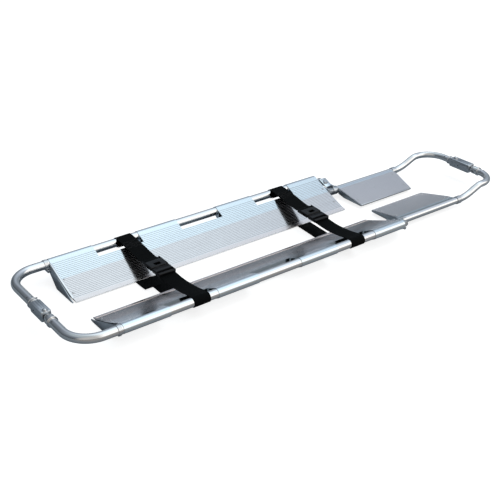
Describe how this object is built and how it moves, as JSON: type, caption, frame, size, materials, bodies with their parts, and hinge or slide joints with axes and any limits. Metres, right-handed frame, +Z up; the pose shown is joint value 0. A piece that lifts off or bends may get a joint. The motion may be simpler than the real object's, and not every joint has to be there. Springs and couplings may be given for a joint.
{
  "type": "scoop stretcher",
  "caption": "Two-piece aluminium scoop stretcher: hollow ribbed blades in tube rails, a telescoping folding foot section, quick couplings at both ends and buckled straps.",
  "frame": {"origin": "centre of the stretcher's bounding box, on the plane that its feet stand on", "axes": "+X from the head end to the foot end, +Y to the left half, +Z up"},
  "size_m": [1.621, 0.4413, 0.0719],
  "materials": {
    "tube": "polished drawn aluminium tube",
    "blade": "ribbed extruded aluminium, bright anodised",
    "casting": "grey satin cast aluminium",
    "steel": "bright steel",
    "buckle": "black moulded plastic",
    "webbing": "black woven polyester webbing, 50 mm"
  },
  "bodies": {
    "left_half": {"left_rail_tube": "tube", "left_rail_end_cap": "casting", "left_head_band": "casting", "left_blade": "blade", "left_head_loop": "tube", "left_head_cheek": "casting", "left_end_plate": "casting", "left_guide_tube": "tube", "head_socket": "casting", "head_button_spring": "steel", "strap_1_far_webbing": "webbing", "strap_1_buckle_female": "buckle", "strap_2_far_webbing": "webbing", "strap_2_buckle_female": "buckle"},
    "head_tongue": {"head_tongue": "steel"},
    "head_button": {"head_button": "steel"},
    "right_half": {"right_rail_tube": "tube", "right_rail_end_cap": "casting", "right_head_band": "casting", "right_blade": "blade", "right_head_loop": "tube", "right_head_cheek": "casting", "right_end_plate": "casting", "right_guide_tube": "tube", "head_knuckle": "tube", "head_knuckle_pin": "steel", "strap_1_near_webbing": "webbing", "strap_1_buckle_male": "buckle", "strap_2_near_webbing": "webbing", "strap_2_buckle_male": "buckle"},
    "left_slide": {"left_slide_tube": "tube", "left_carriage": "casting"},
    "left_lock": {"left_lock_knob": "steel"},
    "left_foot": {"left_fold_leaf": "casting", "left_hinge_pin": "steel", "left_foot_tube": "tube", "left_foot_band": "casting", "left_foot_loop": "tube", "left_foot_plate": "blade", "left_foot_plate_cheek": "casting", "foot_socket": "casting", "foot_button_spring": "steel"},
    "foot_button": {"foot_button": "steel"},
    "right_slide": {"right_slide_tube": "tube", "right_carriage": "casting"},
    "right_lock": {"right_lock_knob": "steel"},
    "right_foot": {"right_fold_leaf": "casting", "right_hinge_pin": "steel", "right_foot_tube": "tube", "right_foot_band": "casting", "right_foot_loop": "tube", "right_foot_plate": "blade", "right_foot_plate_cheek": "casting", "foot_knuckle": "tube", "foot_knuckle_pin": "steel", "foot_tongue": "steel"}
  },
  "joints": [
    {"name": "halves_slide_apart", "type": "slide", "parent": "left_half", "child": "head_tongue", "axis": [0, -1, 0], "range_m": [0, 0.3]},
    {"name": "foot_end_swings_open", "type": "hinge", "parent": "head_tongue", "child": "right_half", "pos_m": [-0.7925, -0.0565, 0.052], "axis": [0, 0, 1], "range_deg": [-25, 0]},
    {"name": "left_extension", "type": "slide", "parent": "left_half", "child": "left_slide", "axis": [1, 0, 0], "range_m": [0, 0.35]},
    {"name": "right_extension", "type": "slide", "parent": "right_half", "child": "right_slide", "axis": [1, 0, 0], "range_m": [0, 0.35]},
    {"name": "left_fold", "type": "hinge", "parent": "left_slide", "child": "left_foot", "pos_m": [0.3205, 0.1778, 0.046], "axis": [0, -1, 0], "range_deg": [0, 170]},
    {"name": "right_fold", "type": "hinge", "parent": "right_slide", "child": "right_foot", "pos_m": [0.3205, -0.1778, 0.046], "axis": [0, -1, 0], "range_deg": [0, 170]},
    {"name": "head_button_press", "type": "slide", "parent": "left_half", "child": "head_button", "axis": [0, 0, -1], "range_m": [0, 0.0025], "stiffness_N_per_m": 400, "springref_m": -0.002, "deforming": ["head_button_spring"]},
    {"name": "foot_button_press", "type": "slide", "parent": "left_foot", "child": "foot_button", "axis": [0, 0, -1], "range_m": [0, 0.0025], "stiffness_N_per_m": 400, "springref_m": -0.002, "deforming": ["foot_button_spring"]},
    {"name": "left_lock_pull", "type": "slide", "parent": "left_slide", "child": "left_lock", "axis": [0, 1, 0], "range_m": [0, 0.006], "stiffness_N_per_m": 300, "springref_m": -0.003},
    {"name": "right_lock_pull", "type": "slide", "parent": "right_slide", "child": "right_lock", "axis": [0, -1, 0], "range_m": [0, 0.006], "stiffness_N_per_m": 300, "springref_m": -0.003}
  ],
  "couplings": [
    {"joint": "right_extension", "follows": "left_extension", "ratio": 1},
    {"joint": "right_fold", "follows": "left_fold", "ratio": 1}
  ]
}
